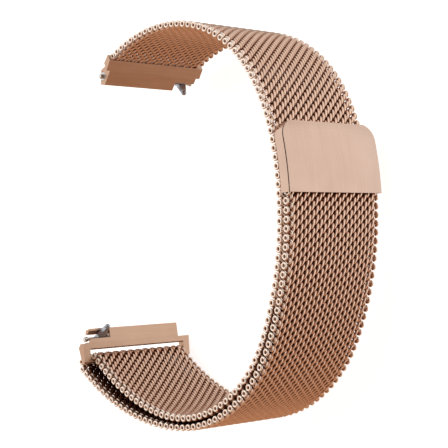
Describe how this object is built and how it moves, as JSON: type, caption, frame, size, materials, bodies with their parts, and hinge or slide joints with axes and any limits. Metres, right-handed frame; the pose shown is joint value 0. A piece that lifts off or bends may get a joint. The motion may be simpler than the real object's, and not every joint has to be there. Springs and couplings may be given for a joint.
{
  "type": "watch band",
  "caption": "Woven metal-mesh watch band in a worn C-shape, folded back through a loop and held by a flat magnetic clasp, with quick-release end pieces.",
  "frame": {"origin": "centre of the bounding box, at the lowest point, with the band lying on its edge", "axes": "+Z across the width of the band, +Y from the lower end piece towards the upper one, +X from the open side towards the back"},
  "size_m": [0.0516, 0.0672, 0.0242],
  "materials": {
    "mesh": "rose-gold plated steel wire",
    "end_piece": "satin rose-gold plated steel",
    "clasp": "brushed rose-gold plated steel",
    "bar": "bright stainless steel",
    "spring": "drawn steel wire",
    "magnet": "nickel-plated magnet"
  },
  "bodies": {
    "back": {"mesh_back_top": "mesh", "mesh_back_bottom": "mesh"},
    "upper_arm_5": {"mesh_upper_5": "mesh"},
    "upper_arm_4": {"mesh_upper_4": "mesh"},
    "upper_arm_3": {"mesh_upper_3": "mesh"},
    "upper_arm_2": {"mesh_upper_2": "mesh"},
    "upper_arm_1": {"mesh_upper_1": "mesh", "upper_end_block": "end_piece", "upper_bar_tube": "bar", "upper_bar_fixed_tip": "bar", "upper_bar_spring": "spring"},
    "lower_arm_1": {"mesh_inner_1": "mesh", "mesh_outer_1": "mesh"},
    "lower_arm_2": {"mesh_inner_2": "mesh", "mesh_outer_2": "mesh"},
    "lower_arm_3": {"mesh_inner_3": "mesh", "mesh_outer_3": "mesh"},
    "lower_arm_4": {"mesh_inner_4": "mesh", "mesh_outer_4": "mesh"},
    "lower_arm_5": {"mesh_inner_5": "mesh", "mesh_outer_5": "mesh"},
    "lower_arm_6": {"mesh_inner_6": "mesh", "mesh_outer_6": "mesh", "mesh_fold": "mesh"},
    "loop": {"lower_end_loop": "end_piece", "lower_bar_tube": "bar", "lower_bar_fixed_tip": "bar", "lower_bar_spring": "spring"},
    "peel_1": {"mesh_peel_1": "mesh"},
    "peel_2": {"mesh_peel_2": "mesh"},
    "clasp": {"mesh_clasp_end": "mesh", "clasp_cover": "clasp", "clasp_base": "clasp", "clasp_magnets": "magnet", "clasp_weld_bar": "clasp"},
    "upper_release": {"upper_bar_pin": "bar", "upper_bar_knob": "bar"},
    "lower_release": {"lower_bar_pin": "bar", "lower_bar_knob": "bar"}
  },
  "joints": [
    {"name": "upper_flex_5", "type": "hinge", "parent": "back", "child": "upper_arm_5", "pos_m": [0.01949, 0.01912, 0.0121], "axis": [0, 0, -1], "range_deg": [-6, 20]},
    {"name": "upper_flex_4", "type": "hinge", "parent": "upper_arm_5", "child": "upper_arm_4", "pos_m": [0.01428, 0.02636, 0.0121], "axis": [0, 0, -1], "range_deg": [-6, 20]},
    {"name": "upper_flex_3", "type": "hinge", "parent": "upper_arm_4", "child": "upper_arm_3", "pos_m": [0.0068, 0.03122, 0.0121], "axis": [0, 0, -1], "range_deg": [-6, 20]},
    {"name": "upper_flex_2", "type": "hinge", "parent": "upper_arm_3", "child": "upper_arm_2", "pos_m": [-0.00194, 0.03299, 0.0121], "axis": [0, 0, -1], "range_deg": [-6, 20]},
    {"name": "upper_flex_1", "type": "hinge", "parent": "upper_arm_2", "child": "upper_arm_1", "pos_m": [-0.01081, 0.03194, 0.0121], "axis": [0, 0, -1], "range_deg": [-6, 20]},
    {"name": "lower_flex_1", "type": "hinge", "parent": "back", "child": "lower_arm_1", "pos_m": [0.02376, -0.01089, 0.0121], "axis": [0, 0, 1], "range_deg": [-3, 14]},
    {"name": "lower_flex_2", "type": "hinge", "parent": "lower_arm_1", "child": "lower_arm_2", "pos_m": [0.02019, -0.02057, 0.0121], "axis": [0, 0, 1], "range_deg": [-3, 15]},
    {"name": "lower_flex_3", "type": "hinge", "parent": "lower_arm_2", "child": "lower_arm_3", "pos_m": [0.01437, -0.02733, 0.0121], "axis": [0, 0, 1], "range_deg": [-3, 15]},
    {"name": "lower_flex_4", "type": "hinge", "parent": "lower_arm_3", "child": "lower_arm_4", "pos_m": [0.00588, -0.0318, 0.0121], "axis": [0, 0, 1], "range_deg": [-3, 15]},
    {"name": "lower_flex_5", "type": "hinge", "parent": "lower_arm_4", "child": "lower_arm_5", "pos_m": [-0.00436, -0.033, 0.0121], "axis": [0, 0, 1], "range_deg": [-2, 12]},
    {"name": "lower_flex_6", "type": "hinge", "parent": "lower_arm_5", "child": "lower_arm_6", "pos_m": [-0.01457, -0.03146, 0.0121], "axis": [0, 0, 1], "range_deg": [-1, 10]},
    {"name": "loop_pivot", "type": "hinge", "parent": "lower_arm_6", "child": "loop", "pos_m": [-0.0219, -0.02496, 0.0121], "axis": [0, 0, 1], "range_deg": [-25, 25]},
    {"name": "peel_flex_1", "type": "hinge", "parent": "back", "child": "peel_1", "pos_m": [0.02376, -0.01089, 0.0121], "axis": [0, 0, -1], "range_deg": [0, 14]},
    {"name": "peel_flex_2", "type": "hinge", "parent": "peel_1", "child": "peel_2", "pos_m": [0.02489, -0.0034, 0.0121], "axis": [0, 0, -1], "range_deg": [0, 20]},
    {"name": "peel_flex_3", "type": "hinge", "parent": "peel_2", "child": "clasp", "pos_m": [0.02486, 0.00419, 0.0121], "axis": [0, 0, -1], "range_deg": [0, 20]},
    {"name": "upper_release_slide", "type": "slide", "parent": "upper_arm_1", "child": "upper_release", "axis": [0, 0, 1], "range_m": [0, 0.00075], "stiffness_N_per_m": 800, "springref_m": -0.0008, "deforming": ["upper_bar_spring"]},
    {"name": "lower_release_slide", "type": "slide", "parent": "loop", "child": "lower_release", "axis": [0, 0, -1], "range_m": [0, 0.00075], "stiffness_N_per_m": 800, "springref_m": -0.0008, "deforming": ["lower_bar_spring"]}
  ]
}
